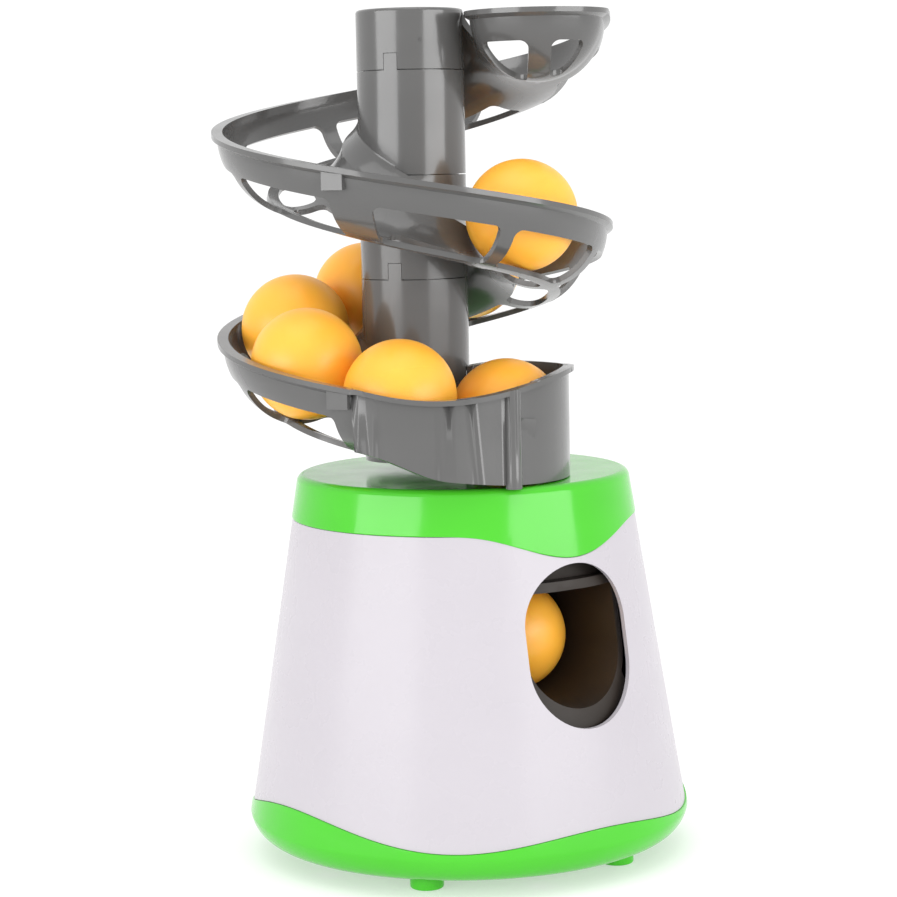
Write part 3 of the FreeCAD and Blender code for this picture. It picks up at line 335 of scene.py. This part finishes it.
def ball_mesh(name, tilt):
    """Two thin half shells joined at a fine equator seam, turned by a tilt."""
    mesh = bmesh.new()
    equator = math.pi / 2
    seam = SEAM_HALF / BALL_RADIUS
    levels = [math.pi * i / BALL_RINGS for i in range(1, BALL_RINGS)]
    for reach in (seam, seam * SEAM_SHOULDER):
        levels += [equator - reach, equator + reach]
    levels.sort()
    turns = [2 * math.pi * k / BALL_SIDES for k in range(BALL_SIDES)]
    rows = []
    for level in levels:
        radius = BALL_RADIUS - (SEAM_DEPTH if abs(level - equator) < seam / 2 else 0.0)
        r, z = radius * math.sin(level), radius * math.cos(level)
        rows.append([mesh.verts.new((r * math.cos(t), r * math.sin(t), z)) for t in turns])
    for upper, lower in zip(rows, rows[1:]):
        for k in range(BALL_SIDES):
            n = (k + 1) % BALL_SIDES
            mesh.faces.new((upper[k], lower[k], lower[n], upper[n]))
    for row, z in ((rows[0], BALL_RADIUS), (rows[-1], -BALL_RADIUS)):
        pole = mesh.verts.new((0, 0, z))
        for k in range(BALL_SIDES):
            n = (k + 1) % BALL_SIDES
            order = (row[k], row[n], pole) if z > 0 else (row[n], row[k], pole)
            mesh.faces.new(order)
    data = bpy.data.meshes.new(name)
    mesh.to_mesh(data)
    mesh.free()
    data.transform(tilt.to_matrix().to_4x4())
    for face in data.polygons:
        face.use_smooth = True
    return data


def add_balls(materials):
    """Draw each ball with its seam in place of the plain CAD ball."""
    draw = random.Random(TILT_SEED)
    for name in BALLS:
        low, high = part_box(name)
        tilt = Euler([draw.uniform(0, 2 * math.pi) for _ in range(3)])
        piece = bpy.data.objects.new(name + "_shell", ball_mesh(name + "_shell", tilt))
        bpy.context.scene.collection.objects.link(piece)
        piece.matrix_world = Matrix.Translation((low + high) / 2)
        assign(piece, materials["ball_plastic"])
        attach(piece, name + "_body")
        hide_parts(name)


# ---- moulding marks -----------------------------------------------------------------------
MARK_RADIUS, MARK_HEIGHT, MARK_POINTS = 0.95 * MM, 0.25 * MM, 6
MARK_NOTCH, MARK_TAPER = 0.4, 0.7    # shares of the radius, between the points and at the top
SLEEVE_MARK_RADIUS, SLEEVE_MARK_AZIMUTH, SLEEVE_MARK_DROP = 19.45 * MM, -24.4, 11.4 * MM
SHAFT_MARK_RADIUS, SHAFT_MARK_AZIMUTH, SHAFT_MARK_DROP = 22.45 * MM, -1.7, 12.0 * MM


def gate_mark(name, place, outward):
    """Small raised star that the injection gate leaves on a moulding."""
    mesh = bmesh.new()
    corners = 2 * MARK_POINTS
    turns = [math.pi * k / MARK_POINTS for k in range(corners)]
    reach = [MARK_RADIUS * (1.0 if k % 2 == 0 else MARK_NOTCH) for k in range(corners)]
    foot = [mesh.verts.new((r * math.cos(t), r * math.sin(t), -MARK_HEIGHT)) for r, t in zip(reach, turns)]
    top = [mesh.verts.new((MARK_TAPER * v.co.x, MARK_TAPER * v.co.y, MARK_HEIGHT)) for v in foot]
    mesh.faces.new(top)
    mesh.faces.new(foot[::-1])
    for k in range(corners):
        n = (k + 1) % corners
        mesh.faces.new((foot[k], foot[n], top[n], top[k]))
    data = bpy.data.meshes.new(name)
    mesh.to_mesh(data)
    mesh.free()
    data.transform(Matrix.Translation(place) @ outward.to_track_quat("Z", "Y").to_matrix().to_4x4())
    mark = bpy.data.objects.new(name, data)
    bpy.context.scene.collection.objects.link(mark)
    return mark


def on_cylinder(axis, radius, azimuth, z):
    """Point and outward direction on an upright cylinder; the azimuth runs from -Y towards +X."""
    angle = math.radians(azimuth)
    outward = Vector((math.sin(angle), -math.cos(angle), 0))
    return Vector((axis.x, axis.y, z)) + outward * radius, outward


def add_marks(materials):
    """Gate marks on the top sleeve and on the chute's shaft."""
    joints = {joint["name"]: joint for joint in frame["joints"]}
    column = Vector(joints["ball_front_roll"]["pos_m"])
    low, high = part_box("ball_chute")
    shaft = (low + high) / 2
    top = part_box("ramp_top")[1].z
    sleeve_z, shaft_z = top - SLEEVE_MARK_DROP, shaft.z - SHAFT_MARK_DROP
    spots = {
        "gate_mark_sleeve": on_cylinder(column, SLEEVE_MARK_RADIUS, SLEEVE_MARK_AZIMUTH, sleeve_z),
        "gate_mark_shaft": on_cylinder(shaft, SHAFT_MARK_RADIUS, SHAFT_MARK_AZIMUTH, shaft_z),
    }
    for name, (place, outward) in spots.items():
        mark = gate_mark(name, place, outward)
        assign(mark, materials["grey_plastic"])
        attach(mark, "root")


# ---- stage --------------------------------------------------------------------------------
WHITE = (1, 1, 1, 1)
WORLD_STRENGTH = 1.06
FLOOR_HALF, FLOOR_DROP = 6.0, 0.2 * MM
FLOOR_ALBEDO, FLOOR_SPREAD, FLOOR_GLOW = 0.52, 0.01, 0.45
FLOOR_SCALE, FLOOR_ROUGHNESS = 3.0, 0.7

LIGHT_TARGET = Vector((0, 0, 0.16))
LIGHT_DISTANCE, LIGHT_HEIGHT = 1.6, 0.42
BOX_SIZE, BOX_POWER = (1.4, 0.6), 12.5                   # metres, watts
BOX_AZIMUTHS = {"left_box": -52.0, "right_box": 53.0}    # degrees from the camera's side of the object
TOP_PLACE, TOP_SIZE, TOP_POWER = (-0.2, -0.1, 1.5), (1.2, 1.2), 6.0


def add_floor():
    """Pale floor that glows slightly, like a light table."""
    mesh = bpy.data.meshes.new("floor")
    corners = [(-FLOOR_HALF, -FLOOR_HALF, 0), (FLOOR_HALF, -FLOOR_HALF, 0)]
    corners += [(FLOOR_HALF, FLOOR_HALF, 0), (-FLOOR_HALF, FLOOR_HALF, 0)]
    mesh.from_pydata(corners, [], [(0, 1, 2, 3)])
    floor = bpy.data.objects.new("floor", mesh)
    floor.location.z = -FLOOR_DROP
    bpy.context.scene.collection.objects.link(floor)
    made = Nodes("pale_floor")
    made.shade(made.noise(FLOOR_SCALE), *tones([FLOOR_ALBEDO] * 3, FLOOR_SPREAD))
    made.value("Roughness", FLOOR_ROUGHNESS)
    made.value("Emission Color", WHITE)
    made.value("Emission Strength", FLOOR_GLOW)
    assign(floor, made)


def add_world():
    """Plain white surround."""
    world = bpy.data.worlds.new("studio")
    bpy.context.scene.world = world
    world.use_nodes = True
    background = world.node_tree.nodes["Background"]
    background.inputs["Color"].default_value = WHITE
    background.inputs["Strength"].default_value = WORLD_STRENGTH


def add_light(name, place, size, power):
    """Soft box that faces the object."""
    data = bpy.data.lights.new(name, "AREA")
    data.shape = "RECTANGLE"
    data.size, data.size_y = size
    data.energy = power
    light = bpy.data.objects.new(name, data)
    light.location = place
    light.rotation_euler = (LIGHT_TARGET - Vector(place)).to_track_quat("-Z", "Y").to_euler()
    bpy.context.scene.collection.objects.link(light)


def add_lights():
    """Two wide soft boxes beside the camera, and a weak one overhead."""
    for name, azimuth in BOX_AZIMUTHS.items():
        angle = math.radians(azimuth - CAMERA_AZIMUTH)
        aside = Vector((math.sin(angle), -math.cos(angle), 0))
        add_light(name, aside * LIGHT_DISTANCE + Vector((0, 0, LIGHT_HEIGHT)), BOX_SIZE, BOX_POWER)
    add_light("top_box", TOP_PLACE, TOP_SIZE, TOP_POWER)


add_camera()
shades = make_materials()
dress_cad(shades)
add_balls(shades)
add_marks(shades)
add_floor()
add_world()
add_lights()
